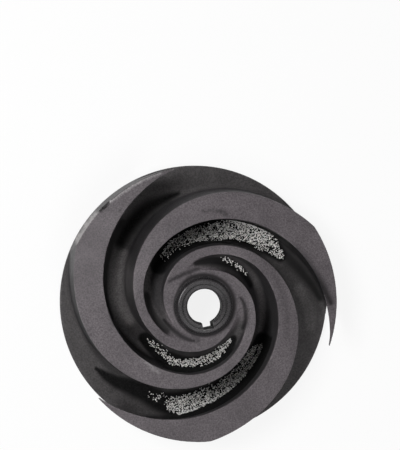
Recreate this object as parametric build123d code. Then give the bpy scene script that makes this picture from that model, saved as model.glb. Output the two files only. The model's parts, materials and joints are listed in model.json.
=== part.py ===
from build123d import *

import os
from math import cos, exp, log, pi, radians, sin, tan

# Semi-open pump impeller: one iron casting with three spiral vanes on a back shroud.
#
# Millimetres, +Z up. The origin is the centre of the flat back face, and the vanes stand
# on the shroud towards +Z. Angles run anticlockwise as seen from the vane side. A place
# along a vane is its "wrap": the angle in degrees from where the vane tip meets the rim.

# ---- Driving dimensions ---------------------------------------------------------------

# Casting as a whole
outer_diameter = 203.0
shroud_thickness = 6.0
vane_count = 3
first_tip_angle = -19.75

# Vane face, the turned cone that runs against the wear plate
face_rim_height = 39.8
crown_height = 52.6
crown_diameter = 92.0
crown_setback = 7.0
throat_height = 49.4
throat_diameter = 60.0
throat_setback = 3.0

# Outer wall of a vane: an equiangular spiral whose wall angle changes twice
rim_arc = 53.0
rim_wall_angle = 13.5
middle_wrap = 108.5
middle_wall_angle = 17.2
root_wrap = 215.0
root_wall_angle = 14.2

# Radial thickness of a vane, from its tip through its heavy part to its slim root
tip_thickness = 25.2
heavy_thickness = 19.0
heavy_wrap = 107.0
slim_thickness = 7.0
slim_wrap = 180.0

# Lean of the walls, in degrees: they draft open towards the face, except that the inner
# wall is undercut at the tip, and comes round to the draft further along the vane
wall_draft = 3.0
tip_undercut = 14.0
undercut_wrap = 12.0
drafted_wrap = 62.0

# Channels between the vanes
channel_root_radius = 4.0
channel_nose_width = 8.1
channel_inner_diameter = 42.0
channel_merge = 1.2

# Hub ramp that the channel floors climb, from the shroud to a shoulder at the boss
ramp_foot_diameter = 116.0
ramp_shoulder_diameter = 43.0
ramp_shoulder_rise = 0.8
ramp_fullness = 0.8

# Turned boss at the eye
boss_diameter = 39.6
boss_height = 5.1
boss_root_radius = 3.0
boss_edge_radius = 1.2
seat_groove_diameter = 32.6
seat_groove_width = 1.0
seat_groove_depth = 0.8

# Keyed bore
bore_diameter = 25.0
bore_chamfer = 1.2
bore_land = 8.0
relief_diameter = 29.0
key_width = 8.0
key_reach = 17.1
key_length = 19.0
key_angle = -79.5

# Back of the hub: seal seat and tapered core
seal_seat_diameter = 54.0
seal_seat_depth = 9.0
core_mouth_diameter = 46.0
core_end_diameter = 40.0
core_radius = 3.0

# Small edges
rim_chamfer = 0.8
seat_chamfer = 1.0

# ---- Worked out from the driving dimensions -------------------------------------------

rim_radius = outer_diameter / 2
boss_top = throat_height + boss_height
core_top = boss_top - key_length
vane_pitch = 360 / vane_count

# Vane face as (radius, height) points, before its corners are eased
rim_point = (rim_radius, face_rim_height)
crown_point = (crown_diameter / 2, crown_height)
throat_point = (throat_diameter / 2, throat_height)

# The cutting tools run past the rim, under the back and above the boss, so that they
# cut clean through: a wall by the overrun, a channel's mouth by the mouth overrun
overrun = 8.0
mouth_overrun = 24.0
tool_top = boss_top + overrun
tool_reach = rim_radius + mouth_overrun

# Spacing of the points that a wall's spline passes through, and the step in which a wrap
# is searched for, both in degrees of wrap
wall_step = 30.0
search_step = 1.0


def polar(radius, angle, height=0.0):
    """Point at a radius and an angle in degrees about the shaft axis."""
    return Vector(radius * cos(radians(angle)), radius * sin(radians(angle)), height)


def spiral_drop(wall_angle, start, end):
    """Natural log of how far a spiral at wall_angle closes in between two wraps."""
    return tan(radians(wall_angle)) * radians(end - start)


def outer_wall(wrap):
    """Radius of a vane's outer wall, at the level of the vane face."""
    drop = spiral_drop(rim_wall_angle, rim_arc, min(wrap, middle_wrap))
    if wrap > middle_wrap:
        drop += spiral_drop(middle_wall_angle, middle_wrap, min(wrap, root_wrap))
    if wrap > root_wrap:
        drop += spiral_drop(root_wall_angle, root_wrap, wrap)
    return rim_radius * exp(-drop)


def vane_thickness(wrap):
    """Radial thickness of a vane, falling evenly from tip to heavy part to slim root."""
    if wrap < heavy_wrap:
        share = wrap / heavy_wrap
        return tip_thickness + share * (heavy_thickness - tip_thickness)
    share = min((wrap - heavy_wrap) / (slim_wrap - heavy_wrap), 1.0)
    return heavy_thickness + share * (slim_thickness - heavy_thickness)


def inner_wall(wrap):
    """Radius of a vane's inner wall, at the level of the vane face."""
    return outer_wall(wrap) - vane_thickness(wrap)


def eye_wall(wrap):
    """Radius of the outer wall where it runs out softly into a ring round the boss."""
    ring = channel_inner_diameter / 2
    return ring + channel_merge * log(1 + exp((outer_wall(wrap) - ring) / channel_merge))


def face_height(radius):
    """Height of the vane face at a radius, before its corners are eased."""
    if radius < throat_point[0]:
        return throat_height
    low, high = (crown_point, rim_point) if radius > crown_point[0] else (throat_point, crown_point)
    share = (radius - low[0]) / (high[0] - low[0])
    return low[1] + share * (high[1] - low[1])


def wall_at(radius, lean, height):
    """Radius at a height of a wall that leans inwards, going down, from the face."""
    return radius - (face_height(radius) - height) * tan(radians(lean))


def inner_lean(wrap):
    """Lean of a vane's inner wall: undercut at the tip, drafted further along."""
    share = (wrap - undercut_wrap) / (drafted_wrap - undercut_wrap)
    drafted = (1 - cos(pi * min(max(share, 0.0), 1.0))) / 2
    return drafted * wall_draft - (1 - drafted) * tip_undercut


def channel_end():
    """Wrap of a vane at which the channel inside it has closed to its nose width."""
    wrap = slim_wrap
    while inner_wall(wrap) - eye_wall(wrap + vane_pitch) > channel_nose_width:
        wrap += search_step
    return wrap


def wraps(start, end):
    """Wraps from start to end, evenly spaced by about wall_step."""
    count = max(2, round(abs(end - start) / wall_step))
    return [start + (end - start) * i / count for i in range(count + 1)]


def wrap_outside(wall, start):
    """First wrap, going out along a wall, that lies past the rim by the overrun."""
    wrap = start
    while wall(wrap) < rim_radius + overrun:
        wrap -= search_step
    return wrap


def channel_outline(height):
    """Plan of one channel at a height, between the first vane and the one after it."""
    end = channel_end()
    first_start = wrap_outside(outer_wall, rim_arc)
    second_start = wrap_outside(inner_wall, 0.0)
    first = [polar(wall_at(eye_wall(w), -wall_draft, height), w, height)
             for w in wraps(end + vane_pitch, first_start)]
    second = [polar(wall_at(inner_wall(w), inner_lean(w), height), w + vane_pitch, height)
              for w in wraps(second_start, end)]
    first_wall = Spline(*first)
    second_wall = Spline(*second)
    nose = Line(second_wall @ 1, first_wall @ 0)
    start = polar(tool_reach, first_start, height)
    middle = polar(tool_reach, (rim_arc + vane_pitch) / 2, height)
    finish = polar(tool_reach, second_start + vane_pitch, height)
    mouth = [Line(first_wall @ 1, start), ThreePointArc(start, middle, finish),
             Line(finish, second_wall @ 0)]
    return make_face([first_wall, *mouth, second_wall, nose])


def ease_radius(points, number, setback):
    """Radius that rounds a corner of an outline from setback before it to as far after."""
    before, corner, after = (Vector(*point) for point in points[number - 1:number + 2])
    turn = (corner - before).get_angle(after - corner)
    return setback / tan(radians(turn / 2))


def revolved(points, rounding):
    """Solid turned about the shaft axis from (radius, height) points.

    rounding holds (point number, radius) for the corners that are rounded.
    """
    profile = Plane.XZ * make_face(Polyline(*points, close=True))
    for number, radius in rounding:
        corner = Plane.XZ.from_local_coords(Vector(*points[number], 0))
        vertex = profile.vertices().sort_by_distance(corner)[0]
        profile = fillet(vertex, radius)
    return revolve(profile, Axis.Z)


def blank():
    """Casting before its channels: shroud, vane face and boss as one turned solid."""
    boss = boss_diameter / 2
    points = [(0, 0), (rim_radius - rim_chamfer, 0), (rim_radius, rim_chamfer),
              rim_point, crown_point, throat_point, (boss, throat_height),
              (boss, boss_top), (0, boss_top)]
    return revolved(points, [(4, ease_radius(points, 4, crown_setback)),
                             (5, ease_radius(points, 5, throat_setback)),
                             (6, boss_root_radius), (7, boss_edge_radius)])


def floor():
    """Shroud and hub ramp alone: the surface that the channel floors follow."""
    top = throat_height + ramp_shoulder_rise
    reach = tool_reach + overrun
    foot = (ramp_foot_diameter / 2, shroud_thickness)
    shoulder = (ramp_shoulder_diameter / 2, top)
    ramp = Spline(foot, shoulder, tangents=((-1, 0), (-1, 0)),
                  tangent_scalars=(ramp_fullness, ramp_fullness))
    body = Polyline(shoulder, (0, top), (0, -overrun), (reach, -overrun),
                    (reach, shroud_thickness), foot)
    return revolve(Plane.XZ * make_face([*body.edges(), ramp]), Axis.Z)


def channel():
    """Space of the first channel, with its floor edges rounded like the casting's."""
    column = loft([channel_outline(-overrun / 2), channel_outline(tool_top)], ruled=True)
    space = column - floor()
    mouth = rim_radius + overrun / 2
    roots = [edge for edge in space.edges()
             if edge.bounding_box().max.Z < tool_top - overrun
             and edge.geom_type != GeomType.CIRCLE
             and Vector(edge.center().X, edge.center().Y, 0).length < mouth]
    return fillet(roots, channel_root_radius)


def hub_bore():
    """Keyed bore, its mouth, its relief and the cored recess behind it."""
    bore = bore_diameter / 2
    relief = relief_diameter / 2
    land_end = boss_top - bore_land
    points = [(0, -overrun), (seal_seat_diameter / 2 + seat_chamfer, -overrun),
              (seal_seat_diameter / 2 + seat_chamfer, 0),
              (seal_seat_diameter / 2, seat_chamfer),
              (seal_seat_diameter / 2, seal_seat_depth),
              (core_mouth_diameter / 2, seal_seat_depth),
              (core_end_diameter / 2, core_top),
              (relief, core_top), (relief, land_end),
              (bore, land_end), (bore, boss_top - bore_chamfer),
              (bore + bore_chamfer, boss_top), (bore + bore_chamfer, tool_top),
              (0, tool_top)]
    return revolved(points, [(6, core_radius)])


def keyway():
    """Key slot, cut from the boss face to the ceiling of the core."""
    slot = Box(key_reach, key_width, tool_top - core_top + overrun,
               align=(Align.MIN, Align.CENTER, Align.MAX))
    return Rot(0, 0, key_angle) * Pos(0, 0, tool_top) * slot


def seat_groove():
    """Turned groove that parts the washer seat from the mouth of the bore."""
    ring = Circle(seat_groove_diameter / 2 + seat_groove_width / 2)
    ring -= Circle(seat_groove_diameter / 2 - seat_groove_width / 2)
    return extrude(Pos(0, 0, boss_top) * ring, -seat_groove_depth)


def impeller():
    """The finished casting, turned and keyed."""
    casting = blank()
    space = channel()
    for index in range(vane_count):
        casting -= Rot(0, 0, first_tip_angle + index * vane_pitch) * space
    casting -= hub_bore()
    casting -= keyway()
    casting -= seat_groove()
    return casting


os.makedirs("parts", exist_ok=True)
part = impeller()
part.label = "impeller"
export_step(part, "parts/impeller.step")
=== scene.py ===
import json
import logging
import math
from collections.abc import Iterator, Mapping, Sequence
from contextlib import contextmanager
from dataclasses import dataclass, field
from enum import Enum
from typing import Any

import bmesh
import bpy
import numpy as np
from mathutils import Matrix, Vector
from mathutils.bvhtree import BVHTree


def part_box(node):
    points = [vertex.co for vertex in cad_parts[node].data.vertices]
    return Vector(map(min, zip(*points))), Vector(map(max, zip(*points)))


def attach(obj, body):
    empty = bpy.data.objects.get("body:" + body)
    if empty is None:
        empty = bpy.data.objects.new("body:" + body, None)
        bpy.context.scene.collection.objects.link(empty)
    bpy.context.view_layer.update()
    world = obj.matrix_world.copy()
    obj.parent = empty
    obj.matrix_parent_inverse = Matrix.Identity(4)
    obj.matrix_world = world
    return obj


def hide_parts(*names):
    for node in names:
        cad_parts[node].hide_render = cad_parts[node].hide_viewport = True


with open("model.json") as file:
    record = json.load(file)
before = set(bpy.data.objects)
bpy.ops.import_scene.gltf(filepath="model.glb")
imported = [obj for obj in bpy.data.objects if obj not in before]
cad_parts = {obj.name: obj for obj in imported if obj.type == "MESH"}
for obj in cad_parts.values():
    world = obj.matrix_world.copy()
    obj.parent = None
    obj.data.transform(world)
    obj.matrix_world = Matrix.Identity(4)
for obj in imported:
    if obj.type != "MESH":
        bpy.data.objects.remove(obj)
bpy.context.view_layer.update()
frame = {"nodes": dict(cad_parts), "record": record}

# Looks of a semi-open pump impeller: a vaned iron casting, the turned hub boss at its eye,
# and the moulding sand that is still caught in its channels. Metres, +Z up, with the
# impeller lying on its flat back.

log = logging.getLogger("impeller")

MM = 0.001
# Points nearer than this are one point
WELD = 0.001 * MM
# Keeps a division from being one by nothing
TINY = 1e-12
NODE = "impeller"
BODY = "root"
WHITE = (1.0, 1.0, 1.0, 1.0)
GRAIN_OUTPUTS = ("Mottle", "Grit", "Height")

Socket = bpy.types.NodeSocket
Object = bpy.types.Object
Mesh = bpy.types.Mesh
Material = bpy.types.Material
Colour = tuple[float, float, float]
Outline = Sequence[tuple[float, float]]

# What a smooth ramp maps: from a low and a high value, to a start and an end value
Ramp = tuple[float, float, float, float]


# ---- Helpers for nodes ------------------------------------------------------------------


class Graph:
    """Adds and links the nodes of one shader or geometry tree."""

    def __init__(self, tree: bpy.types.NodeTree) -> None:
        """Work on a tree that already exists."""
        self.tree = tree

    def feed(self, node: bpy.types.Node, inputs: Mapping[Any, Any]) -> None:
        """Link or fill inputs of a node.

        Args:
            node: Node whose inputs are set.
            inputs: Sockets to link from, or plain values, by input name or number.
        """
        for key, value in inputs.items():
            if isinstance(value, Socket):
                self.tree.links.new(value, node.inputs[key])
            else:
                node.inputs[key].default_value = value

    def add(self, kind: str, inputs: Mapping[Any, Any] | None = None,
            **settings: Any) -> bpy.types.Node:
        """Add a node, set its properties, and link or fill its inputs.

        Args:
            kind: Blender's name of the node type.
            inputs: Sockets to link from, or plain values, by input name or number.
            settings: Properties of the node, set before its inputs.

        Returns:
            The new node.
        """
        node = self.tree.nodes.new(kind)
        for name, value in settings.items():
            setattr(node, name, value)
        self.feed(node, inputs or {})
        return node

    def math(self, operation: str, *values: Any) -> Socket:
        """Result of a Math node on the given sockets or numbers."""
        return self.add("ShaderNodeMath", dict(enumerate(values)),
                        operation=operation).outputs[0]

    def vector(self, operation: str, *values: Any) -> bpy.types.Node:
        """Vector Math node on the given sockets or vectors."""
        return self.add("ShaderNodeVectorMath", dict(enumerate(values)),
                        operation=operation)

    def scaled(self, vector: Socket, factor: Any) -> Socket:
        """Vector or colour times a number."""
        inputs = {0: vector, "Scale": factor}
        return self.add("ShaderNodeVectorMath", inputs, operation="SCALE").outputs[0]

    def span(self, value: Socket, low: Any, high: Any, start: Any = 0.0,
             end: Any = 1.0) -> Socket:
        """Value mapped from low-high to start-end with a smooth step, and held there."""
        inputs = {"Value": value, "From Min": low, "From Max": high, "To Min": start,
                  "To Max": end}
        return self.add("ShaderNodeMapRange", inputs,
                        interpolation_type="SMOOTHSTEP").outputs["Result"]

    def blend(self, share: Any, first: Any, second: Any) -> Socket:
        """Colour that goes from first to second with share."""
        # Of a Mix node's sockets, inputs 6 and 7 and output 2 are the ones for colours
        inputs = {0: share, 6: rgba(first), 7: rgba(second)}
        return self.add("ShaderNodeMix", inputs, data_type="RGBA").outputs[2]

    def noise(self, place: Any, scale: Any, detail: float = 2.0,
              roughness: float = 0.5) -> Socket:
        """Fractal noise value, about 0.5, at a place."""
        inputs = {"Vector": place, "Scale": scale, "Detail": detail,
                  "Roughness": roughness}
        return self.add("ShaderNodeTexNoise", inputs).outputs[0]


class Finish(Graph):
    """A new material's nodes, with its Principled shader and the shared grain."""

    def __init__(self, name: str, grain: bpy.types.NodeTree,
                 scales: Mapping[str, float] | None = None) -> None:
        """Make the material.

        Args:
            name: Name of the material.
            grain: Shader group of the surface's grain.
            scales: Scales of the grain, where they aren't its own.
        """
        self.material = bpy.data.materials.new(name)
        self.material.use_nodes = True
        super().__init__(self.material.node_tree)
        self.shader = self.tree.nodes["Principled BSDF"]
        outputs = self.add("ShaderNodeGroup", scales, node_tree=grain).outputs
        self.mottle, self.grit, self.height = (outputs[k] for k in GRAIN_OUTPUTS)

    def attribute(self, name: str) -> Socket:
        """Value of one of the mesh's own attributes."""
        return self.add("ShaderNodeAttribute", attribute_name=name).outputs["Fac"]

    def bump(self, height: Socket, strength: float, distance: float) -> None:
        """Let the surface look raised by a height."""
        inputs = {"Height": height, "Strength": strength, "Distance": distance}
        self.feed(self.shader, {"Normal": self.add("ShaderNodeBump", inputs).outputs[0]})


class ShapeTree(Graph):
    """A Geometry Nodes tree that takes a mesh, named values and a finish."""

    def __init__(self, name: str, kinds: Mapping[str, str]) -> None:
        """Make the tree and its sockets.

        Args:
            name: Name of the tree.
            kinds: Socket type of each named value, such as Float or Int.
        """
        super().__init__(bpy.data.node_groups.new(name, "GeometryNodeTree"))
        face = self.tree.interface
        face.new_socket("Geometry", in_out="INPUT", socket_type="NodeSocketGeometry")
        self.named = {}
        for key, kind in {**kinds, "Finish": "Material"}.items():
            socket = face.new_socket(key, in_out="INPUT", socket_type=f"NodeSocket{kind}")
            self.named[key] = socket.identifier
        face.new_socket("Geometry", in_out="OUTPUT", socket_type="NodeSocketGeometry")
        self.source = self.add("NodeGroupInput").outputs

    def close(self, geometry: Socket) -> None:
        """Make the geometry real, dress it in the finish and lead it out."""
        real = self.add("GeometryNodeRealizeInstances", {0: geometry}).outputs[0]
        dressed = self.add("GeometryNodeSetMaterial",
                           {"Geometry": real, "Material": self.source["Finish"]})
        self.add("NodeGroupOutput", {0: dressed.outputs[0]})

    def run(self, piece: Object, finish: Material, values: Mapping[str, Any]) -> None:
        """Run the tree on a piece, and keep what it makes as a plain mesh.

        Args:
            piece: Object whose mesh the tree is given.
            finish: Material of what the tree makes.
            values: The named values.
        """
        modifier = piece.modifiers.new(self.tree.name, "NODES")
        modifier.node_group = self.tree
        for key, value in {**values, "Finish": finish}.items():
            modifier[self.named[key]] = value
        settle(piece)


def rgba(colour: Any) -> Any:
    """A colour with its alpha, or the socket that it already is."""
    return colour if isinstance(colour, Socket) else (*colour, 1.0)


# ---- Helpers for meshes -----------------------------------------------------------------


def settle(piece: Object) -> None:
    """Apply all modifiers of a piece and take them off it.

    Args:
        piece: Object whose mesh becomes what its modifiers make of it.
    """
    bpy.context.view_layer.update()
    graph = bpy.context.evaluated_depsgraph_get()
    mesh = bpy.data.meshes.new_from_object(piece.evaluated_get(graph), depsgraph=graph)
    old = piece.data
    piece.modifiers.clear()
    piece.data = mesh
    bpy.data.meshes.remove(old)


def place_object(name: str, mesh: Mesh) -> Object:
    """Object of a mesh at the origin, linked to the scene.

    Args:
        name: Name of the object.
        mesh: Its mesh.

    Returns:
        The new object.
    """
    piece = bpy.data.objects.new(name, mesh)
    bpy.context.scene.collection.objects.link(piece)
    return piece


@contextmanager
def editing(mesh: Mesh) -> Iterator[bmesh.types.BMesh]:
    """Work on a mesh as a bmesh, which is written back to it at the end.

    Args:
        mesh: Mesh to change.

    Returns:
        The bmesh, for as long as the work lasts.
    """
    build = bmesh.new()
    build.from_mesh(mesh)
    yield build
    build.to_mesh(mesh)
    build.free()


def mesh_from(name: str, build: bmesh.types.BMesh) -> Mesh:
    """Mesh of a finished bmesh, with its faces turned outwards.

    Args:
        name: Name of the mesh.
        build: The bmesh, which is freed.

    Returns:
        The new mesh.
    """
    bmesh.ops.recalc_face_normals(build, faces=build.faces)
    mesh = bpy.data.meshes.new(name)
    build.to_mesh(mesh)
    build.free()
    return mesh


def triangles(mesh: Mesh) -> int:
    """How many triangles a mesh's faces come to."""
    return sum(len(face.vertices) - 2 for face in mesh.polygons)


def vertex_places(mesh: Mesh) -> np.ndarray:
    """Coordinates of a mesh's vertices, one row each."""
    places = np.empty(len(mesh.vertices) * 3)
    mesh.vertices.foreach_get("co", places)
    return places.reshape(-1, 3)


def vertex_normals(mesh: Mesh) -> np.ndarray:
    """Normals of a mesh's vertices, one row each."""
    normals = np.empty(len(mesh.vertices) * 3)
    mesh.vertex_normals.foreach_get("vector", normals)
    return normals.reshape(-1, 3)


def move_vertices(mesh: Mesh, places: np.ndarray) -> None:
    """Put a mesh's vertices at new coordinates, one row each."""
    mesh.vertices.foreach_set("co", places.ravel())
    mesh.update()


def read_attribute(mesh: Mesh, name: str) -> np.ndarray:
    """The number that an attribute holds for each vertex."""
    values = np.empty(len(mesh.vertices), dtype=np.float32)
    mesh.attributes[name].data.foreach_get("value", values)
    return values


def write_attribute(mesh: Mesh, name: str, values: np.ndarray) -> None:
    """Store one number for each vertex under a name that materials can read."""
    store = mesh.attributes.new(name, "FLOAT", "POINT")
    store.data.foreach_set("value", values.astype(np.float32))


def shade_smooth(mesh: Mesh, crease: float) -> None:
    """Shade smooth, but keep edges sharper than crease degrees sharp."""
    mesh.shade_smooth()
    mesh.set_sharp_from_angle(angle=math.radians(crease))


def smooth_step(values: np.ndarray, low: Any, high: Any) -> np.ndarray:
    """Values mapped to 0 at low and 1 at high, with a soft start and end."""
    share = np.clip((values - low) / (high - low), 0.0, 1.0)
    return share * share * (3.0 - 2.0 * share)


def polar(places: np.ndarray) -> tuple[np.ndarray, np.ndarray]:
    """Distance from the shaft axis, and degrees about it, of each place."""
    x, y = places[:, 0], places[:, 1]
    return np.hypot(x, y), np.degrees(np.arctan2(y, x))


def turn_between(start: Any, end: Any) -> Any:
    """Degrees from a start to an end angle, the short way round."""
    return (end - start + 180.0) % 360.0 - 180.0


def turning_tree() -> ShapeTree:
    """Geometry tree that turns a closed section about the shaft axis.

    Returns:
        The tree, with the values Inner Radius and Segments.
    """
    tree = ShapeTree("turned_ring", {"Inner Radius": "Float", "Segments": "Int"})
    section = tree.add("GeometryNodeMeshToCurve", {"Mesh": tree.source["Geometry"]})
    path = tree.add("GeometryNodeCurvePrimitiveCircle",
                    {"Resolution": tree.source["Segments"],
                     "Radius": tree.source["Inner Radius"]})
    ring = tree.add("GeometryNodeCurveToMesh", {"Curve": path.outputs["Curve"],
                                                "Profile Curve": section.outputs["Curve"]})
    tree.close(ring.outputs["Mesh"])
    return tree


def turn(name: str, outline: Outline, segments: int, finish: Material) -> Object:
    """Object turned about the shaft axis from a closed (radius, height) outline.

    Args:
        name: Name of the object and its mesh.
        outline: Points round the section, none of them on the axis.
        segments: Number of steps round the axis.
        finish: Material of the surface.

    Returns:
        The object, as a plain mesh with its faces turned outwards.
    """
    inner = min(radius for radius, height in outline)
    count = len(outline)
    section = bpy.data.meshes.new(name)
    section.from_pydata([(radius - inner, -height, 0.0) for radius, height in outline],
                        [(i, (i + 1) % count) for i in range(count)], [])
    piece = place_object(name, section)
    turning_tree().run(piece, finish, {"Inner Radius": inner, "Segments": segments})
    with editing(piece.data) as build:
        bmesh.ops.recalc_face_normals(build, faces=build.faces)
    return piece


def cut_away(piece: Object, cutter: Object) -> None:
    """Take a cutter's space out of a piece, and delete the cutter.

    Args:
        piece: Object that is cut.
        cutter: Closed solid of the space.
    """
    cut = piece.modifiers.new("cut", "BOOLEAN")
    cut.operation = "DIFFERENCE"
    cut.solver = "EXACT"
    cut.object = cutter
    settle(piece)
    bpy.data.objects.remove(cutter)


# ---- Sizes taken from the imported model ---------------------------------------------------


def mount(name: str) -> dict[str, Any]:
    """The record's mount of that name."""
    return next(row for row in frame["record"]["mounts"] if row["name"] == name)


RIM_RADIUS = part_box(NODE)[1].x
BOSS_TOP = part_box(NODE)[1].z
BORE_RADIUS = mount("shaft_bore")["dims"]["r_mm"] * MM


@dataclass(frozen=True)
class VaneFace:
    """The turned cone that the tops of the vanes lie on."""

    rim_height: float = 39.8 * MM
    crown_height: float = 52.6 * MM
    crown_radius: float = 46.0 * MM
    throat_height: float = 49.4 * MM
    throat_radius: float = 30.0 * MM

    def height(self, radius: np.ndarray) -> np.ndarray:
        """Height of the face at each radius."""
        return np.interp(radius, (self.throat_radius, self.crown_radius, RIM_RADIUS),
                         (self.throat_height, self.crown_height, self.rim_height))


# ---- Streaks laid over the casting -------------------------------------------------------


class Tone(Enum):
    """What a streak does to the cast skin; the value names the attribute that holds it."""

    # Painted shade, near black
    PAINTED_SHADE = "painted_shade"
    # Painted light on channel floors
    PAINTED_LIGHT = "painted_light"
    # Dark scuffs, and painted shade on the right-hand faces
    SCUFF_AND_SHADE = "scuff_and_shade"
    # Bright bare metal, and painted highlights
    BRIGHT_METAL_AND_HIGHLIGHT = "bright_metal_and_highlight"


@dataclass(frozen=True)
class Stroke:
    """A soft-edged streak, laid from above on what lies between two heights.

    Its points are (degrees about the shaft axis, radius in mm, half width in mm), and
    between them it runs on round the axis, in steps of so many degrees at most. The
    heights and their fade are in mm.
    """

    points: tuple[tuple[float, float, float], ...]
    strength: float = 1.0
    softness: float = 0.7
    lowest: float = 0.0
    highest: float = 99.0
    fade: float = 2.0
    turn_step: float = 6.0

    def spots(self) -> list[tuple[float, float, float]]:
        """Work out closely spaced places along the streak.

        Returns:
            Rows of x, y and half width in metres.
        """
        spots = []
        for (a0, r0, w0), (a1, r1, w1) in zip(self.points, self.points[1:]):
            turned = turn_between(a0, a1)
            steps = max(1, math.ceil(abs(turned) / self.turn_step))
            for share in np.linspace(0.0, 1.0, steps + 1):
                angle = math.radians(a0 + share * turned)
                radius = (r0 + share * (r1 - r0)) * MM
                spots.append((radius * math.cos(angle), radius * math.sin(angle),
                              (w0 + share * (w1 - w0)) * MM))
        return spots

    def cover(self, places: np.ndarray) -> np.ndarray:
        """How much of the streak lies over each place.

        Args:
            places: Coordinates, one row each.

        Returns:
            For each row, from 0 outside the streak to its strength along its middle.
        """
        x, y, z = places.T
        spots = self.spots()
        nearest = np.full(len(places), np.inf)
        for (x0, y0, w0), (x1, y1, w1) in zip(spots, spots[1:]):
            way = (x1 - x0, y1 - y0)
            length = max(way[0] ** 2 + way[1] ** 2, TINY)
            share = np.clip(((x - x0) * way[0] + (y - y0) * way[1]) / length, 0.0, 1.0)
            gap = np.hypot(x - x0 - share * way[0], y - y0 - share * way[1])
            nearest = np.minimum(nearest, gap / (w0 + share * (w1 - w0)))
        above = smooth_step(z, (self.lowest - self.fade) * MM, self.lowest * MM)
        past = smooth_step(z, (self.highest - self.fade) * MM, self.highest * MM)
        outside = smooth_step(nearest, 1.0 - self.softness, 1.0)
        return self.strength * (above * (1.0 - past)) * (1.0 - outside)


def covered(strokes: Sequence[Stroke], places: np.ndarray) -> np.ndarray:
    """Strongest of some strokes at each place."""
    return np.max([stroke.cover(places) for stroke in strokes], axis=0)


# ---- Finishes ---------------------------------------------------------------------------


@dataclass(frozen=True)
class Grain:
    """Mottling, fine grit and height of a grey surface, shared by all finishes."""

    mottle_scale: float = 60.0
    mottle_detail: float = 4.0
    mottle_roughness: float = 0.6
    grit_scale: float = 900.0
    grit_detail: float = 3.0
    grit_roughness: float = 0.65
    mottle_height: float = 0.4

    def group(self) -> bpy.types.NodeTree:
        """Make the shader group.

        Returns:
            The group, with the inputs Mottle Scale and Grit Scale.
        """
        tree = bpy.data.node_groups.new("iron_grain", "ShaderNodeTree")
        for name, value in (("Mottle Scale", self.mottle_scale),
                            ("Grit Scale", self.grit_scale)):
            socket = tree.interface.new_socket(name, in_out="INPUT",
                                               socket_type="NodeSocketFloat")
            socket.default_value = value
        for name in GRAIN_OUTPUTS:
            tree.interface.new_socket(name, in_out="OUTPUT", socket_type="NodeSocketFloat")
        graph = Graph(tree)
        source = graph.add("NodeGroupInput").outputs
        place = graph.add("ShaderNodeTexCoord").outputs["Object"]
        mottle = graph.noise(place, source["Mottle Scale"], self.mottle_detail,
                             self.mottle_roughness)
        grit = graph.noise(place, source["Grit Scale"], self.grit_detail,
                           self.grit_roughness)
        height = graph.math("ADD", graph.math("MULTIPLY", mottle, self.mottle_height), grit)
        graph.add("NodeGroupOutput", {"Mottle": mottle, "Grit": grit, "Height": height})
        return tree


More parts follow.
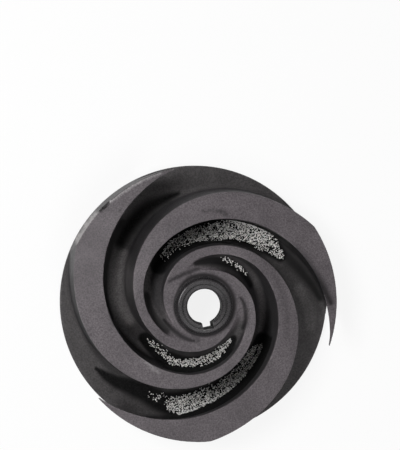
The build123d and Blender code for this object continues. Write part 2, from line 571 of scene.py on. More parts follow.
@dataclass(frozen=True)
class CastSkin:
    """Dark grey cast iron: paler where the vane faces were turned, darker below them and
    darkest on steep walls, with painted shade in the channels and round the boss.

    Its ramps read the grain's mottling or grit, and deep reads the depth below the face as
    a share of the face's height at the rim.
    """

    face_colour: Colour = (0.106, 0.094, 0.101)
    rim_colour: Colour = (0.060, 0.056, 0.058)
    # Colour of the paler band on the rim
    pale_band_colour: Colour = (0.30, 0.285, 0.285)
    wall_colour: Colour = (0.040, 0.038, 0.040)
    floor_colour: Colour = (0.056, 0.052, 0.053)
    # Painted light, pale patches where the channel floors are lit
    painted_light_colour: Colour = (0.200, 0.188, 0.188)
    # Painted shade, near black, for the channels, the foot of the boss and the chip
    painted_shade_colour: Colour = (0.0012, 0.0012, 0.0013)
    # Dark scuffs, and painted shade on the right-hand faces
    scuff_and_shade_colour: Colour = (0.034, 0.031, 0.033)
    # Worn edges, which also carry painted highlights
    worn_and_highlit_colour: Colour = (0.20, 0.185, 0.19)
    # Bright bare metal in the chip and a speck, and painted highlights
    bright_metal_and_highlight_colour: Colour = (0.62, 0.60, 0.60)
    deep: tuple[float, float] = (0.02, 0.09)
    painted_shade_by_grit: Ramp = (0.2, 0.6, 0.86, 1.0)
    scuff_and_shade_by_mottle: Ramp = (0.40, 0.62, 0.35, 1.0)
    wear_and_highlight_by_mottle: Ramp = (0.42, 0.60, 0.0, 0.5)
    tint_by_mottle: Ramp = (0.25, 0.75, 0.86, 1.12)
    tint_by_grit: Ramp = (0.28, 0.72, 0.66, 1.34)
    roughness_by_grit: Ramp = (0.3, 0.7, 0.44, 0.62)
    painted_shade_roughness: float = 0.35
    specular: float = 0.2
    bump_strength: float = 0.55
    bump_depth: float = 0.2 * MM

    def material(self, grain: bpy.types.NodeTree) -> Material:
        """Build the material from the shared grain and the casting's own attributes.

        Args:
            grain: Shader group of the surface's grain.

        Returns:
            The material.
        """
        skin = Finish("cast_iron_skin", grain)
        depth, edge, rim, level, pale_band = (
            skin.attribute(name) for name in ("depth", "edge", "rim", "level", "pale_band"))
        painted_shade, painted_light, scuff_and_shade, bright_metal_and_highlight = (skin.attribute(tone.value) for tone in Tone)
        walls = skin.blend(level, self.wall_colour, self.floor_colour)
        base = skin.blend(skin.span(depth, *self.deep), self.face_colour, walls)
        # The turned rim, with a paler band over part of its round
        turned = skin.blend(pale_band, self.rim_colour, self.pale_band_colour)
        # Painted shade: near black on the channel walls and floors, round the foot of the
        # boss and in the chip, broken up by the grit
        ragged_shade = skin.math("MULTIPLY", painted_shade, skin.span(skin.grit, *self.painted_shade_by_grit))
        # Dark scuffs on the faces, and painted shade that darkens the faces on the right
        scuffed_and_shaded = skin.math("MULTIPLY", scuff_and_shade, skin.span(skin.mottle, *self.scuff_and_shade_by_mottle))
        # Lighter convex edges: edge wear, and painted highlights where a rounded edge would
        # catch the light
        worn_and_highlit = skin.math("MULTIPLY", edge, skin.span(skin.mottle, *self.wear_and_highlight_by_mottle))
        # Over the base go the turned rim, painted light on the channel floors, painted shade,
        # scuffs with painted shade, worn edges with painted highlights, and bright metal with
        # painted highlights
        for share, colour in ((rim, turned), (painted_light, self.painted_light_colour),
                              (ragged_shade, self.painted_shade_colour), (scuffed_and_shaded, self.scuff_and_shade_colour),
                              (worn_and_highlit, self.worn_and_highlit_colour), (bright_metal_and_highlight, self.bright_metal_and_highlight_colour)):
            base = skin.blend(share, base, colour)
        tint = skin.math("MULTIPLY", skin.span(skin.mottle, *self.tint_by_mottle),
                         skin.span(skin.grit, *self.tint_by_grit))
        roughness = skin.math("ADD", skin.span(skin.grit, *self.roughness_by_grit),
                              skin.math("MULTIPLY", painted_shade, self.painted_shade_roughness))
        skin.feed(skin.shader, {"Base Color": skin.scaled(base, tint),
                                "Roughness": roughness, "Metallic": 0.0,
                                "Specular IOR Level": self.specular})
        skin.bump(skin.height, self.bump_strength, self.bump_depth)
        return skin.material


@dataclass(frozen=True)
class TurnedMetal:
    """Oiled turned iron with the rings that a lathe tool leaves, and painted shade in its
    groove, down its bore and keyway, and round its foot.
    """

    colour: Colour = (0.050, 0.046, 0.049)
    dark: Colour = (0.014, 0.013, 0.014)
    # Painted shade of the recesses
    recess_shade_colour: Colour = (0.006, 0.006, 0.006)
    metallic: float = 0.3
    ring_pitch: float = 0.9 * MM
    ring_grit: float = 1.5
    recess_inner: float = 15.2 * MM
    recess_outer: float = 16.9 * MM
    bore_fade: float = 0.3 * MM
    flank: float = 20.2 * MM
    flank_end: float = 21.4 * MM
    keyway: float = 17.2 * MM
    keyway_fade: float = 0.4 * MM
    sunk: float = 1.3 * MM
    sunk_deep: float = 2.2 * MM
    sunk_roughness: float = 0.6
    shine_by_mottle: Ramp = (0.3, 0.7, 0.0, 0.6)
    shine_by_ring: Ramp = (-1.0, 1.0, 0.0, 0.4)
    roughness_by_grit: Ramp = (0.3, 0.7, 0.20, 0.34)
    bump_strength: float = 0.3
    bump_depth: float = 0.08 * MM

    def material(self, grain: bpy.types.NodeTree) -> Material:
        """Build the material, with rings from the distance to the shaft axis.

        Args:
            grain: Shader group of the surface's grain.

        Returns:
            The material.
        """
        skin = Finish("turned_iron", grain)
        place = skin.add("ShaderNodeTexCoord").outputs["Object"]
        flat = skin.vector("MULTIPLY", place, (1.0, 1.0, 0.0)).outputs[0]
        radius = skin.vector("LENGTH", flat).outputs["Value"]
        height = skin.add("ShaderNodeSeparateXYZ", {0: place}).outputs["Z"]
        wave = skin.math("SINE", skin.math("MULTIPLY", skin.math("ADD", radius, height),
                                           math.tau / self.ring_pitch))
        share = skin.math("ADD", skin.span(skin.mottle, *self.shine_by_mottle),
                          skin.span(wave, *self.shine_by_ring))
        middle = (self.recess_inner + self.recess_outer) / 2
        # Painted shade: black in the groove, down the bore and keyway, and round the foot of
        # the boss
        recess_shade = skin.math("MULTIPLY", skin.span(radius, self.recess_inner, middle),
                           skin.span(radius, middle, self.recess_outer, 1.0, 0.0))
        sunk = skin.math("MULTIPLY",
                         skin.span(height, BOSS_TOP - self.sunk_deep, BOSS_TOP - self.sunk,
                                   1.0, 0.0),
                         skin.span(radius, self.keyway, self.keyway + self.keyway_fade,
                                   1.0, 0.0))
        inside = skin.span(radius, BORE_RADIUS, BORE_RADIUS + self.bore_fade, 1.0, 0.0)
        for part in (inside, skin.span(radius, self.flank, self.flank_end), sunk):
            recess_shade = skin.math("MAXIMUM", recess_shade, part)
        base = skin.blend(recess_shade, skin.blend(share, self.dark, self.colour), self.recess_shade_colour)
        roughness = skin.math("ADD", skin.span(skin.grit, *self.roughness_by_grit),
                              skin.math("MULTIPLY", sunk, self.sunk_roughness))
        skin.feed(skin.shader, {"Base Color": base, "Roughness": roughness,
                                "Metallic": self.metallic})
        rings = skin.math("ADD", wave, skin.math("MULTIPLY", skin.grit, self.ring_grit))
        skin.bump(rings, self.bump_strength, self.bump_depth)
        return skin.material


@dataclass(frozen=True)
class MouldingSand:
    """Pale grains of moulding sand, no two quite alike."""

    pale: Colour = (0.90, 0.89, 0.87)
    dull: Colour = (0.50, 0.49, 0.48)
    mottle_scale: float = 700.0
    grit_scale: float = 4000.0
    pale_by_mottle: tuple[float, float] = (0.35, 0.6)
    roughness_by_grit: Ramp = (0.3, 0.7, 0.6, 0.9)
    bump_strength: float = 0.4
    bump_depth: float = 0.1 * MM

    def material(self, grain: bpy.types.NodeTree) -> Material:
        """Build the material from the shared grain, at the scale of a sand grain.

        Args:
            grain: Shader group of the surface's grain.

        Returns:
            The material.
        """
        skin = Finish("moulding_sand", grain, {"Mottle Scale": self.mottle_scale,
                                               "Grit Scale": self.grit_scale})
        share = skin.span(skin.mottle, *self.pale_by_mottle)
        skin.feed(skin.shader, {"Base Color": skin.blend(share, self.dull, self.pale),
                                "Roughness": skin.span(skin.grit, *self.roughness_by_grit)})
        skin.bump(skin.height, self.bump_strength, self.bump_depth)
        return skin.material


# ---- Sub-assemblies ---------------------------------------------------------------------


@dataclass
class TurnedHub:
    """The turned boss at the eye, its seat, groove, keyed bore and relief."""

    boss_radius: float = 19.8 * MM
    boss_height: float = 5.1 * MM
    root_radius: float = 3.0 * MM
    edge_radius: float = 1.2 * MM
    bore_chamfer: float = 1.2 * MM
    land: float = 8.0 * MM
    relief_radius: float = 14.5 * MM
    depth: float = 18.0 * MM
    skirt_radius: float = 18.2 * MM
    skirt_top: float = 47.0 * MM
    flange_radius: float = 21.4 * MM
    groove_radius: float = 16.3 * MM
    groove_width: float = 1.0 * MM
    groove_depth: float = 0.8 * MM
    key_width: float = 8.0 * MM
    key_reach: float = 17.1 * MM
    key_angle: float = -79.5
    lap: float = 0.3 * MM
    segments: int = 256
    arc_steps: int = 8
    crease: float = 28.0

    def arc(self, centre: tuple[float, float], radius: float, start: float,
            end: float) -> list[tuple[float, float]]:
        """Points of a round corner of the section.

        Args:
            centre: Its centre as (radius, height).
            radius: Its radius.
            start: Angle in radians at which it starts.
            end: Angle in radians at which it ends.

        Returns:
            (radius, height) points.
        """
        return [(centre[0] + radius * math.cos(angle), centre[1] + radius * math.sin(angle))
                for angle in np.linspace(start, end, self.arc_steps + 1).tolist()]

    def outline(self) -> list[tuple[float, float]]:
        """Work out the section of the hub.

        Returns:
            (radius, height) points round the section, from the bore outwards.
        """
        top = BOSS_TOP
        bottom = top - self.depth
        land_end = top - self.land
        groove_start = self.groove_radius - self.groove_width / 2
        groove_end = self.groove_radius + self.groove_width / 2
        groove_floor = top - self.groove_depth
        edge = (self.boss_radius - self.edge_radius, top - self.edge_radius)
        root = (self.boss_radius + self.root_radius,
                top - self.boss_height + self.root_radius)
        root_turn = math.acos((root[0] - self.flange_radius) / self.root_radius)
        return [(self.relief_radius, bottom), (self.relief_radius, land_end),
                (BORE_RADIUS, land_end), (BORE_RADIUS, top - self.bore_chamfer),
                (BORE_RADIUS + self.bore_chamfer, top),
                (groove_start, top), (groove_start, groove_floor),
                (groove_end, groove_floor), (groove_end, top),
                *self.arc(edge, self.edge_radius, math.pi / 2, 0.0),
                *self.arc(root, self.root_radius, math.pi, math.pi + root_turn),
                (self.flange_radius, self.skirt_top), (self.skirt_radius, self.skirt_top),
                (self.skirt_radius, bottom)]

    def socket(self) -> Object:
        """Make the cutter that clears the hub's place out of the casting.

        Returns:
            The cutter, which leaves the casting lapping the hub a little.
        """
        bottom, top = BOSS_TOP - self.depth + self.lap, BOSS_TOP + self.boss_height
        skirt, flange = self.skirt_radius - self.lap, self.flange_radius - self.lap
        step = self.skirt_top + self.lap
        outline = [(0.0, bottom), (0.0, top), (flange, top), (flange, step), (skirt, step),
                   (skirt, bottom)]
        build = bmesh.new()
        rings = []
        for number in range(self.segments):
            angle = math.tau * number / self.segments
            rings.append([build.verts.new((r * math.cos(angle), r * math.sin(angle), z))
                          for r, z in outline])
        for ring, after in zip(rings, rings[1:] + rings[:1]):
            for i in range(len(outline)):
                j = (i + 1) % len(outline)
                build.faces.new((ring[i], ring[j], after[j], after[i]))
        bmesh.ops.recalc_face_normals(build, faces=build.faces)
        bmesh.ops.remove_doubles(build, verts=build.verts, dist=WELD)
        return place_object("hub_socket", mesh_from("hub_socket", build))

    def key_cutter(self) -> Object:
        """Make the cutter of the keyway.

        Returns:
            The cutter, which runs past the hub at both ends.
        """
        build = bmesh.new()
        bmesh.ops.create_cube(build, size=1.0)
        size = (self.key_reach, self.key_width, self.depth * 2)
        bmesh.ops.scale(build, vec=size, verts=build.verts)
        bmesh.ops.translate(build, vec=(self.key_reach / 2, 0, BOSS_TOP - self.depth / 2),
                            verts=build.verts)
        bmesh.ops.rotate(build, matrix=Matrix.Rotation(math.radians(self.key_angle), 3, "Z"),
                         verts=build.verts)
        return place_object("key_cutter", mesh_from("key_cutter", build))

    def build(self, finish: Material) -> Object:
        """Turn the hub, cut its keyway and dress it.

        Args:
            finish: Material of the turned surface.

        Returns:
            The finished piece.
        """
        hub = turn("turned_hub", self.outline(), self.segments, finish)
        cut_away(hub, self.key_cutter())
        shade_smooth(hub.data, self.crease)
        return hub


@dataclass
class VanedCasting:
    """Back shroud, hub ramp and three spiral vanes in one cast skin.

    The fields are in groups: the even skin and its splitting, the unevenness of the sand
    mould, the vane face and the streaks, the chip in the rim, the vane tips, and the masks
    that the finish reads.
    """

    triangle_limit: int = 84_000
    voxel: float = 0.6 * MM
    snap: float = 0.9 * MM
    merge: float = 0.02 * MM
    longest_edge: float = 2.5 * MM
    split_above: float = 5.5 * MM
    split_rounds: int = 8
    mend_rounds: int = 8
    crease: float = 40.0

    wave_depth: float = 0.64 * MM
    wave_scale: float = 45.0
    wave_detail: float = 3.0
    wave_roughness: float = 0.55

    face: VaneFace = field(default_factory=VaneFace)
    streaks: tuple[tuple[Tone, tuple[Stroke, ...]], ...] = (
        (Tone.PAINTED_SHADE, (
            # Painted shade on the walls and floors towards the rim
            Stroke(((99, 81.5, 2.5), (106, 80, 6.5), (115, 78.5, 9), (124, 76.5, 11),
                    (133, 74.5, 11), (142, 72, 9)), 1.0, 0.9),
            Stroke(((133, 80, 6), (142, 78, 5), (152, 74, 4), (166, 70, 3.5),
                    (179, 67.5, 3.5), (191, 65, 3.5)), 0.8),
            Stroke(((214, 90, 2), (220, 87.5, 5), (226, 84.5, 7.5), (232, 81, 9.5),
                    (240, 78.5, 11), (248, 79.5, 12), (255, 81.5, 12), (262, 83, 11)),
                   1.0, 0.6, highest=38.0),
            Stroke(((150, 97.5, 1), (163, 95.9, 2), (172, 93.4, 2.6), (181, 90.3, 2.8),
                    (191, 87.4, 3), (200, 85.4, 3.4), (208, 84, 3.6), (216, 82.2, 4),
                    (224, 79, 4)), 0.5, 0.9, highest=38.0),
            Stroke(((30, 76, 9), (21, 80, 9), (13, 85.5, 8), (6, 91.5, 6), (0, 96.5, 4)),
                   0.85, 0.9),
            # Painted shade along the beds of the channels
            Stroke(((138, 41, 7), (118, 45, 9), (100, 48, 10), (78, 53, 12), (56, 62, 13),
                    (39, 69, 12), (27, 74, 7)), 1.0, 0.4, highest=38.0),
            Stroke(((215, 47, 6), (225, 47, 7), (240, 48, 8), (258, 48, 8.5),
                    (275, 45.5, 8.5), (294, 39, 7), (312, 34, 4)), 1.0, 0.4, highest=44.0),
            Stroke(((253, 80, 10), (264, 78, 12), (282, 74, 12), (300, 68, 11),
                    (316, 63, 9), (330, 59, 6)), 1.0, 0.4, highest=38.0),
            # Painted shade between the channels and the boss
            Stroke(((100, 31, 3), (87, 32, 4), (60, 35.5, 5.5), (39, 39, 5), (18, 41, 4)),
                   0.9),
            Stroke(((170, 40, 3), (185, 37, 3), (200, 34, 4), (214, 32, 4)), 0.7),
            Stroke(((200, 30.5, 2), (210, 29, 3), (227, 27.5, 3.4), (245, 27, 2.6),
                    (262, 26, 1.5)), 0.8, 0.9),
            Stroke(((145, 31, 2), (130, 28, 3), (113, 26.5, 3), (98, 27, 2)), 0.7, 0.9),
            Stroke(((12, 27.5, 1.5), (4, 29.5, 2.4), (351, 31.5, 2.8), (341, 33, 2.8),
                    (330, 34, 2)), 0.8, 0.9),
            # Painted shade all round the foot of the boss
            Stroke(((190, 21.5, 1.4), (155, 21.5, 1.6), (120, 22.3, 3), (90, 22.3, 3),
                    (60, 22.3, 3), (30, 22.5, 3.2), (0, 22.5, 3.4), (330, 22.3, 3),
                    (300, 22, 2.6), (270, 21.8, 2.2), (230, 21.5, 1.6), (190, 21.5, 1.4)),
                   0.85, 0.9),
            # Painted shade in the chip
            Stroke(((136.4, 101.5, 1.5), (134.5, 101, 2), (132.6, 101.5, 1.5)),
                   lowest=35.0))),
        (Tone.PAINTED_LIGHT, (
            # Painted light: pale patches where the channel floors are lit
            Stroke(((146, 65, 5), (158, 61, 8), (168, 58.5, 9), (179, 57, 8),
                    (196, 52.5, 6)), 0.8, 1.0),
            Stroke(((6, 80, 5), (354, 89, 7), (346, 92, 5)), 0.25))),
        (Tone.SCUFF_AND_SHADE, (
            # Small dark scuffs; the long last stroke is painted shade over the right-hand
            # faces
            Stroke(((80, 70, 1.5), (77, 69, 2.4), (75, 68, 1.5)), 1.6, 0.6),
            Stroke(((90, 68.5, 1), (85, 69.5, 1.3), (80, 69, 1)), 0.8, 0.6),
            Stroke(((130.9, 91.4, 0.9), (130.1, 91.4, 0.9)), 1.0, 0.6),
            Stroke(((40, 55, 3), (15, 57, 4), (350, 63, 5), (338, 66, 3)), 0.4, 0.9))),
        (Tone.BRIGHT_METAL_AND_HIGHLIGHT, (
            # Bright bare metal in the chip and a speck; painted highlights along the top edge
            # of the rim and on a lower-left face
            Stroke(((131.9, 100.9, 0.9), (131.3, 101.2, 0.8)), 0.8, 0.5, lowest=38.0),
            Stroke(((131, 100.6, 0.7), (120, 100.6, 0.8), (107, 100.7, 0.6)), 0.3, 0.6,
                   lowest=38.0),
            Stroke(((129.4, 87.0, 0.9), (128.9, 86.0, 0.9)), 0.3, 0.5),
            Stroke(((224, 58, 1.6), (231, 58.4, 1.8), (236, 58.2, 1.2)), 0.16))))

    chip: Stroke = Stroke(((137, 101.5, 1.2), (134.6, 101.2, 2.4), (132, 101.5, 1.2)))
    chip_depth: float = 1.3 * MM
    chip_above: float = 34.0 * MM

    vanes: int = 3
    tip_angle: float = -19.75
    tip_run: float = 2.0
    tip_reach: float = 7.0
    tip_inner: float = 93.0 * MM
    tip_bottom: float = 10.0 * MM
    tip_top_gap: float = 0.2 * MM
    tip_search: float = 26.0
    probe_gap: float = 2.0 * MM
    probe_step: float = 0.1
    probes: int = 31
    tip_skin: float = 0.15 * MM
    tip_blunt: float = 0.9 * MM
    blunt_above: float = 30.0 * MM

    rim_band: tuple[float, float] = (0.5 * MM, 0.2 * MM)
    level_normal: tuple[float, float] = (0.3, 0.8)
    edge_bend: tuple[float, float] = (0.10, 0.30)
    turned_below: tuple[float, float] = (0.1 * MM, 1.5 * MM)
    flat_back: tuple[float, float] = (0.5 * MM, 2.0 * MM)
    # The rim is paler between these angles, above this height
    pale_band_from: float = 137.0
    pale_band_to: float = 155.0
    pale_band_fade: float = 2.5
    pale_band_above: float = 7.0 * MM

    def solid(self) -> Object:
        """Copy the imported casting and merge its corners.

        Returns:
            The copy, without materials.
        """
        mesh = frame["nodes"][NODE].data.copy()
        mesh.name = "vaned_casting"
        mesh.materials.clear()
        with editing(mesh) as build:
            bmesh.ops.remove_doubles(build, verts=build.verts, dist=WELD)
        return place_object("vaned_casting", mesh)

    def even_skin(self, casting: Object) -> None:
        """Give the casting an even skin of small faces that still lies on its surface.

        Args:
            casting: The merged casting.
        """
        surface = BVHTree.FromObject(casting, bpy.context.evaluated_depsgraph_get())
        remesh = casting.modifiers.new("even", "REMESH")
        remesh.mode = "VOXEL"
        remesh.voxel_size = self.voxel
        settle(casting)
        thin = casting.modifiers.new("thin", "DECIMATE")
        thin.ratio = min(1.0, self.triangle_limit / triangles(casting.data))
        settle(casting)
        self.draw_tips(casting, surface)
        for vertex in casting.data.vertices:
            place = surface.find_nearest(vertex.co, self.snap)[0]
            if place:
                vertex.co = place
        self.blunt_tips(casting)

    def tip_angles(self) -> list[float]:
        """Angle in degrees of each vane's tip at the face."""
        return [self.tip_angle + vane * 360.0 / self.vanes for vane in range(self.vanes)]

    def probed_heights(self) -> np.ndarray:
        """Heights at which a tip is probed."""
        return np.linspace(self.tip_bottom, self.face.rim_height - self.tip_top_gap,
                           self.probes)

    def tip_line(self, surface: BVHTree, turned: float) -> np.ndarray:
        """Where a vane tip begins at each probed height.

        Args:
            surface: Surface to probe.
            turned: Angle in degrees of the vane's tip at the face.

        Returns:
            Degrees past the given angle, one for each of the probed heights.
        """
        found = []
        for height in self.probed_heights():
            past = -self.tip_run
            while past < self.tip_search:
                angle = math.radians(turned + past)
                out = Vector((math.cos(angle), math.sin(angle), 0.0))
                start = out * (RIM_RADIUS + self.probe_gap) + Vector((0.0, 0.0, height))
                if surface.ray_cast(start, -out, 2 * self.probe_gap)[0] is not None:
                    break
                past += self.probe_step
            found.append(past)
        return np.array(found)

    def draw_tips(self, casting: Object, surface: BVHTree) -> None:
        """Draw the thin vane tips out to where the solid's tips end.

        Args:
            casting: The casting with its even skin.
            surface: Surface of the solid.
        """
        skin = BVHTree.FromObject(casting, bpy.context.evaluated_depsgraph_get())
        places = vertex_places(casting.data)
        radius, angle = polar(places)
        height = places[:, 2]
        for turned in self.tip_angles():
            true, blunt = self.tip_line(surface, turned), self.tip_line(skin, turned)
            past = turn_between(turned, angle)
            start = np.interp(height, self.probed_heights(), blunt)
            short = np.interp(height, self.probed_heights(), blunt - true)
            near = ((past > -self.tip_run) & (past < start + self.tip_reach)
                    & (radius > self.tip_inner) & (height > self.tip_bottom))
            share = 1.0 - smooth_step(past, start, start + self.tip_reach)
            angle = angle - near * np.maximum(short, 0.0) * share
        angle = np.radians(angle)
        places[:, 0], places[:, 1] = radius * np.cos(angle), radius * np.sin(angle)
        move_vertices(casting.data, places)

    def blunt_tips(self, casting: Object) -> None:
        """Give the knife-thin vane tips the slight thickness that a cast edge has.

        Args:
            casting: The casting with its tips drawn out.
        """
        places = vertex_places(casting.data)
        radius, angle = polar(places)
        for turned in self.tip_angles():
            past = turn_between(turned, angle)
            near = ((past > -self.tip_run) & (past < self.tip_reach)
                    & (radius > self.tip_inner) & (radius < RIM_RADIUS - self.tip_skin)
                    & (places[:, 2] > self.blunt_above))
            share = near * (1.0 - smooth_step(past, 0.0, self.tip_reach))
            places[:, :2] *= (1.0 - share * self.tip_blunt / radius.clip(MM))[:, None]
        move_vertices(casting.data, places)

    def split(self, casting: Object) -> None:
        """Split long edges on the vane side, so that flat parts can carry streaks.

        Args:
            casting: The casting with its even skin.
        """
        with editing(casting.data) as build:
            bmesh.ops.remove_doubles(build, verts=build.verts, dist=self.merge)
            bmesh.ops.dissolve_degenerate(build, edges=build.edges, dist=self.merge)
            bmesh.ops.triangulate(build, faces=build.faces)
            for _ in range(self.split_rounds):
                long = [edge for edge in build.edges
                        if edge.calc_length() > self.longest_edge
                        and min(end.co.z for end in edge.verts) > self.split_above]
                if not long:
                    break
                bmesh.ops.subdivide_edges(build, edges=long, cuts=1)
                bmesh.ops.triangulate(build, faces=[face for face in build.faces
                                                    if len(face.verts) > 3])

    def mend(self, casting: Object) -> None:
        """Close the few cracks that thinning, splitting and cutting leave in the skin.

        Args:
            casting: The casting, which is left closed.
        """
        with editing(casting.data) as build:
            for number in range(self.mend_rounds):
                crossed = {face for edge in build.edges if len(edge.link_faces) > 2
                           for face in edge.link_faces}
                bmesh.ops.delete(build, geom=list(crossed), context="FACES")
                torn = [edge for edge in build.edges if len(edge.link_faces) == 1]
                if not torn:
                    break
                if number % 2:
                    bmesh.ops.collapse(build, edges=torn)
                    continue
                bmesh.ops.holes_fill(build, edges=torn, sides=0)
                bmesh.ops.triangulate(build, faces=[face for face in build.faces
                                                    if len(face.verts) > 3])
            bmesh.ops.recalc_face_normals(build, faces=build.faces)
        casting.data.validate()

    def nick(self, casting: Object) -> None:
        """Knock the small chip out of the rim edge.

        Args:
            casting: The casting with its split skin.
        """
        places = vertex_places(casting.data)
        knocked = self.chip.cover(places) * (places[:, 2] > self.chip_above)
        radius = np.maximum(polar(places)[0], MM)
        places[:, :2] *= (1.0 - knocked * self.chip_depth / radius)[:, None]
        places[:, 2] -= knocked * self.chip_depth
        move_vertices(casting.data, places)

    def wave(self, casting: Object, finish: Material) -> None:
        """Put the slight unevenness of a sand casting on the skin, less on turned parts.

        Args:
            casting: The casting with its masks written.
            finish: Material of the cast skin.
        """
        tree = ShapeTree("cast_unevenness", {"Depth": "Float", "Scale": "Float"})
        place = tree.add("GeometryNodeInputPosition").outputs[0]
        noise = tree.noise(place, tree.source["Scale"], self.wave_detail,
                           self.wave_roughness)
        cast = tree.add("GeometryNodeInputNamedAttribute", {"Name": "cast"},
                        data_type="FLOAT").outputs[0]
        push = tree.math("MULTIPLY", tree.math("SUBTRACT", noise, 0.5),
                         tree.math("MULTIPLY", cast, tree.source["Depth"]))
        offset = tree.scaled(tree.add("GeometryNodeInputNormal").outputs[0], push)
        moved = tree.add("GeometryNodeSetPosition",
                         {"Geometry": tree.source["Geometry"], "Offset": offset})
        tree.close(moved.outputs[0])
        tree.run(casting, finish, {"Depth": self.wave_depth, "Scale": self.wave_scale})
        places = vertex_places(casting.data)
        places[:, 2] = np.maximum(places[:, 2], 0.0)
        move_vertices(casting.data, places)

    def bends(self, mesh: Mesh, places: np.ndarray, normals: np.ndarray) -> np.ndarray:
        """How far the surface falls away round each vertex.

        Args:
            mesh: Mesh whose edges are followed.
            places: Its vertices' coordinates.
            normals: Its vertices' normals.

        Returns:
            Mean slope of each vertex's edges below its tangent plane.
        """
        ends = np.empty(len(mesh.edges) * 2, dtype=np.int64)
        mesh.edges.foreach_get("vertices", ends)
        first, second = ends.reshape(-1, 2).T
        way = places[second] - places[first]
        length = np.maximum(np.linalg.norm(way, axis=1), TINY)
        bend, count = np.zeros(len(places)), np.zeros(len(places))
        for end, sign in ((first, -1.0), (second, 1.0)):
            np.add.at(bend, end, sign * (way * normals[end]).sum(1) / length)
            np.add.at(count, end, 1.0)
        return bend / np.maximum(count, 1.0)

    def mark(self, casting: Object) -> None:
        """Write the masks that the finish, the unevenness and the sand read.

        Args:
            casting: The casting with its split and chipped skin.
        """
        mesh = casting.data
        places, normals = vertex_places(mesh), vertex_normals(mesh)
        radius, angle = polar(places)
        angle = angle % 360.0
        height = places[:, 2]
        below = self.face.height(radius) - height
        rim = smooth_step(radius, *(RIM_RADIUS - gap for gap in self.rim_band))
        turned = np.maximum(rim, 1.0 - smooth_step(below, *self.turned_below))
        turned = np.maximum(turned, 1.0 - smooth_step(height, *self.flat_back))
        # Paler band round part of the rim
        fade = self.pale_band_fade
        pale_band = (smooth_step(angle, self.pale_band_from, self.pale_band_from + fade)
                  * (1.0 - smooth_step(angle, self.pale_band_to - fade, self.pale_band_to))
                  * (height > self.pale_band_above))
        masks = {"depth": np.clip(below / self.face.rim_height, 0.0, 1.0),
                 "level": smooth_step(normals[:, 2], *self.level_normal),
                 "edge": smooth_step(self.bends(mesh, places, normals), *self.edge_bend),
                 "rim": rim, "cast": 1.0 - turned, "pale_band": pale_band}
        # The tones: painted shade, painted light, scuffs with painted shade, and bright metal
        # with painted highlights
        for tone, strokes in self.streaks:
            masks[tone.value] = covered(strokes, places)
        for name, values in masks.items():
            write_attribute(mesh, name, values)

    def build(self, hub: TurnedHub, finish: Material) -> Object:
        """Make the casting with room for the hub, and dress it.

        Args:
            hub: Plan of the hub that sits in it.
            finish: Material of the cast skin.

        Returns:
            The finished piece.
        """
        casting = self.solid()
        self.even_skin(casting)
        self.split(casting)
        self.mend(casting)
        self.nick(casting)
        self.mark(casting)
        self.wave(casting, finish)
        cut_away(casting, hub.socket())
        self.mend(casting)
        shade_smooth(casting.data, self.crease)
        return casting


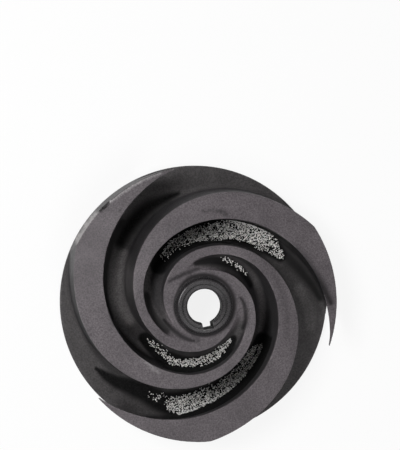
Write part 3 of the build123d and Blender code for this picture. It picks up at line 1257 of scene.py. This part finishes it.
@dataclass
class CaughtSand:
    """Moulding sand that still sticks to the channel floors."""

    patches: tuple[Stroke, ...] = (
        Stroke(((127, 42.5, 3), (115, 45, 4.5), (101, 47, 5), (86, 50, 6.5), (70, 56, 8),
                (57, 63, 9), (43, 67.5, 8.5), (34, 72, 6), (26, 74, 2.5)), 1.0, 0.35),
        Stroke(((66, 37, 1.5), (52, 38, 2.5), (40, 39, 2.5), (30, 41, 1.5)), 0.55, 0.5),
        Stroke(((217, 46, 1.5), (225, 45, 3.5), (237, 45, 4), (248, 48.5, 3)), 0.7, 0.5),
        Stroke(((246, 50, 4), (260, 47.5, 5.5), (271, 45, 5.5), (283, 40.5, 5),
                (296, 36.5, 4), (307, 34, 1.5)), 0.95, 0.4),
        Stroke(((258, 81, 6), (266, 79, 9), (276, 76, 9.5), (286, 73, 8.5),
                (297, 69, 8), (308, 64.5, 7), (319, 61, 5), (324, 60.5, 2.5)), 1.0, 0.35),
        Stroke(((243, 78, 2), (248, 79, 3), (252, 76, 3)), 0.35, 0.5))
    grains_per_area: float = 1.75e6
    clump_scale: float = 420.0
    clumps: tuple[float, float] = (0.30, 0.56)
    small: float = 0.30 * MM
    large: float = 0.62 * MM
    seed: int = 7
    foot_bottom: float = 5.6 * MM
    foot_height: float = 17.0 * MM
    foot_share: float = 0.6
    least_depth: float = 0.12

    def share(self, mesh: Mesh) -> np.ndarray:
        """How thickly the sand lies at each vertex of the casting.

        Args:
            mesh: The casting's mesh, with its masks.

        Returns:
            From 0 for none to 1 for the full number of grains.
        """
        places = vertex_places(mesh)
        height = places[:, 2]
        foot = (height > self.foot_bottom) & (height < self.foot_height)
        holds = np.maximum(read_attribute(mesh, "level"), foot * self.foot_share)
        sunk = read_attribute(mesh, "depth") > self.least_depth
        return covered(self.patches, places) * holds * sunk

    def tree(self) -> ShapeTree:
        """Make the tree that strews grains over the faces it is given.

        Returns:
            The tree, with the values Density, Clump Scale, Smallest, Largest and Seed.
        """
        tree = ShapeTree("strewn_grains", {"Density": "Float", "Clump Scale": "Float",
                                           "Smallest": "Float", "Largest": "Float",
                                           "Seed": "Int"})
        source = tree.source
        share = tree.add("GeometryNodeInputNamedAttribute", {"Name": "sand"},
                         data_type="FLOAT").outputs[0]
        place = tree.add("GeometryNodeInputPosition").outputs[0]
        clump = tree.span(tree.noise(place, source["Clump Scale"]), *self.clumps)
        density = tree.math("MULTIPLY", tree.math("MULTIPLY", share, clump),
                            source["Density"])
        points = tree.add("GeometryNodeDistributePointsOnFaces",
                          {"Mesh": source["Geometry"], "Density": density,
                           "Seed": source["Seed"]}).outputs["Points"]
        grain = tree.add("GeometryNodeMeshIcoSphere",
                         {"Radius": 1.0, "Subdivisions": 1}).outputs["Mesh"]
        # Of a Random Value node's sockets, inputs 2 and 3 and output 1 are for numbers,
        # and inputs 0 and 1 and output 0 are for vectors
        scale = tree.add("FunctionNodeRandomValue",
                         {2: source["Smallest"], 3: source["Largest"],
                          "Seed": source["Seed"]}, data_type="FLOAT").outputs[1]
        lie = tree.add("FunctionNodeRandomValue",
                       {0: (0.0, 0.0, 0.0), 1: (math.tau,) * 3, "Seed": source["Seed"]},
                       data_type="FLOAT_VECTOR").outputs[0]
        tree.close(tree.add("GeometryNodeInstanceOnPoints",
                            {"Points": points, "Instance": grain, "Rotation": lie,
                             "Scale": scale}).outputs[0])
        return tree

    def build(self, casting: Object, finish: Material) -> Object:
        """Strew the sand on a copy of the casting's skin and keep only the grains.

        Args:
            casting: The finished casting.
            finish: Material of the grains.

        Returns:
            The grains, as one piece.
        """
        mesh = casting.data.copy()
        write_attribute(mesh, "sand", self.share(mesh))
        sand = place_object("caught_sand", mesh)
        self.tree().run(sand, finish, {
            "Density": self.grains_per_area, "Clump Scale": self.clump_scale,
            "Smallest": self.small, "Largest": self.large, "Seed": self.seed})
        return sand


# ---- Studio -----------------------------------------------------------------------------


@dataclass(frozen=True)
class Lamp:
    """A square soft lamp that points at the impeller.

    Its azimuth runs in degrees from +X towards +Y and its elevation in degrees above the
    floor. Distance and size are in metres, and its power in watts.
    """

    name: str
    azimuth: float
    elevation: float
    distance: float
    size: float
    power: float

    def hang(self) -> None:
        """Hang the lamp in the scene."""
        data = bpy.data.lights.new(self.name, "AREA")
        data.size = self.size
        data.energy = self.power
        azimuth, elevation = math.radians(self.azimuth), math.radians(self.elevation)
        level = math.cos(elevation) * self.distance
        place = Vector((level * math.cos(azimuth), level * math.sin(azimuth),
                        math.sin(elevation) * self.distance))
        lamp = bpy.data.objects.new(self.name, data)
        lamp.location = place
        lamp.rotation_euler = place.to_track_quat("Z", "Y").to_euler()
        bpy.context.scene.collection.objects.link(lamp)


@dataclass
class Studio:
    """Camera, soft lamps and pale floor."""

    camera_place: tuple[float, float, float] = (-163.29 * MM, 104.11 * MM, 1122.4 * MM)
    camera_target: tuple[float, float, float] = (4.29 * MM, 56.67 * MM, 3.0 * MM)
    lens: float = 120.0
    sensor: float = 36.0
    sight: float = 20.0
    lamps: tuple[Lamp, ...] = (Lamp("key_lamp", 154.0, 58.0, 1.3, 0.45, 11.0),
                               Lamp("fill_lamp", 285.0, 64.0, 1.6, 0.9, 8.0))
    floor_size: float = 6.0
    floor_colour: Colour = (0.9, 0.9, 0.9)
    floor_roughness: float = 0.9
    floor_white: float = 0.86
    ambient: float = 0.18
    ceiling: float = 0.12
    backdrop_low: float = 0.1
    backdrop_top: float = 0.6

    def camera(self) -> None:
        """Set up the camera, its picture's upright along +Y."""
        data = bpy.data.cameras.new("camera")
        data.lens = self.lens
        data.sensor_width = self.sensor
        data.clip_end = self.sight
        camera = bpy.data.objects.new("camera", data)
        place = Vector(self.camera_place)
        back = (place - Vector(self.camera_target)).normalized()
        right = Vector((0.0, 1.0, 0.0)).cross(back).normalized()
        aim = Matrix((right, back.cross(right), back)).transposed().to_4x4()
        camera.matrix_world = Matrix.Translation(place) @ aim
        bpy.context.scene.collection.objects.link(camera)
        bpy.context.scene.camera = camera

    def floor(self) -> None:
        """Lay the pale floor that the impeller rests on."""
        build = bmesh.new()
        bmesh.ops.create_grid(build, x_segments=1, y_segments=1, size=self.floor_size / 2)
        floor = place_object("floor", mesh_from("floor", build))
        material = bpy.data.materials.new("pale_floor")
        material.use_nodes = True
        graph = Graph(material.node_tree)
        nodes = graph.tree.nodes
        shader = nodes["Principled BSDF"]
        graph.feed(shader, {"Base Color": rgba(self.floor_colour),
                            "Roughness": self.floor_roughness})
        path = graph.add("ShaderNodeLightPath").outputs
        seen = graph.math("MAXIMUM", path["Is Camera Ray"], path["Is Glossy Ray"])
        glow = graph.add("ShaderNodeEmission", {"Color": WHITE, "Strength": 1.0})
        mixed = graph.add("ShaderNodeMixShader",
                          {0: graph.math("MULTIPLY", seen, self.floor_white),
                           1: shader.outputs[0], 2: glow.outputs[0]})
        graph.feed(nodes["Material Output"], {"Surface": mixed.outputs[0]})
        floor.data.materials.append(material)

    def world(self) -> None:
        """Light the studio's surroundings, white where the camera sees them."""
        world = bpy.data.worlds.new("studio")
        bpy.context.scene.world = world
        world.use_nodes = True
        graph = Graph(world.node_tree)
        way = graph.add("ShaderNodeTexCoord").outputs["Generated"]
        rise = graph.add("ShaderNodeSeparateXYZ", {0: way}).outputs["Z"]
        backdrop = graph.span(rise, self.backdrop_low, self.backdrop_top, 1.0,
                              self.ceiling)
        path = graph.add("ShaderNodeLightPath").outputs
        seen = graph.math("MULTIPLY", path["Is Glossy Ray"], backdrop)
        strength = graph.math("MAXIMUM", graph.math("MAXIMUM", seen, self.ambient),
                              path["Is Camera Ray"])
        graph.feed(graph.tree.nodes["Background"], {"Color": WHITE, "Strength": strength})

    def build(self) -> None:
        """Set up the whole studio."""
        self.camera()
        for lamp in self.lamps:
            lamp.hang()
        self.floor()
        self.world()
        bpy.context.scene.view_settings.view_transform = "Standard"


# ---- The whole --------------------------------------------------------------------------


def main() -> None:
    """Build and dress every piece, and set up the studio."""
    logging.basicConfig(level=logging.INFO, format="%(name)s: %(message)s")
    grain = Grain().group()
    plan = TurnedHub()
    casting = VanedCasting().build(plan, CastSkin().material(grain))
    hub = plan.build(TurnedMetal().material(grain))
    sand = CaughtSand().build(casting, MouldingSand().material(grain))
    for piece in (casting, hub, sand):
        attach(piece, BODY)
        log.info("%s: %d triangles", piece.name, triangles(piece.data))
    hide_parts(NODE)
    Studio().build()


if __name__ == "__main__":
    main()
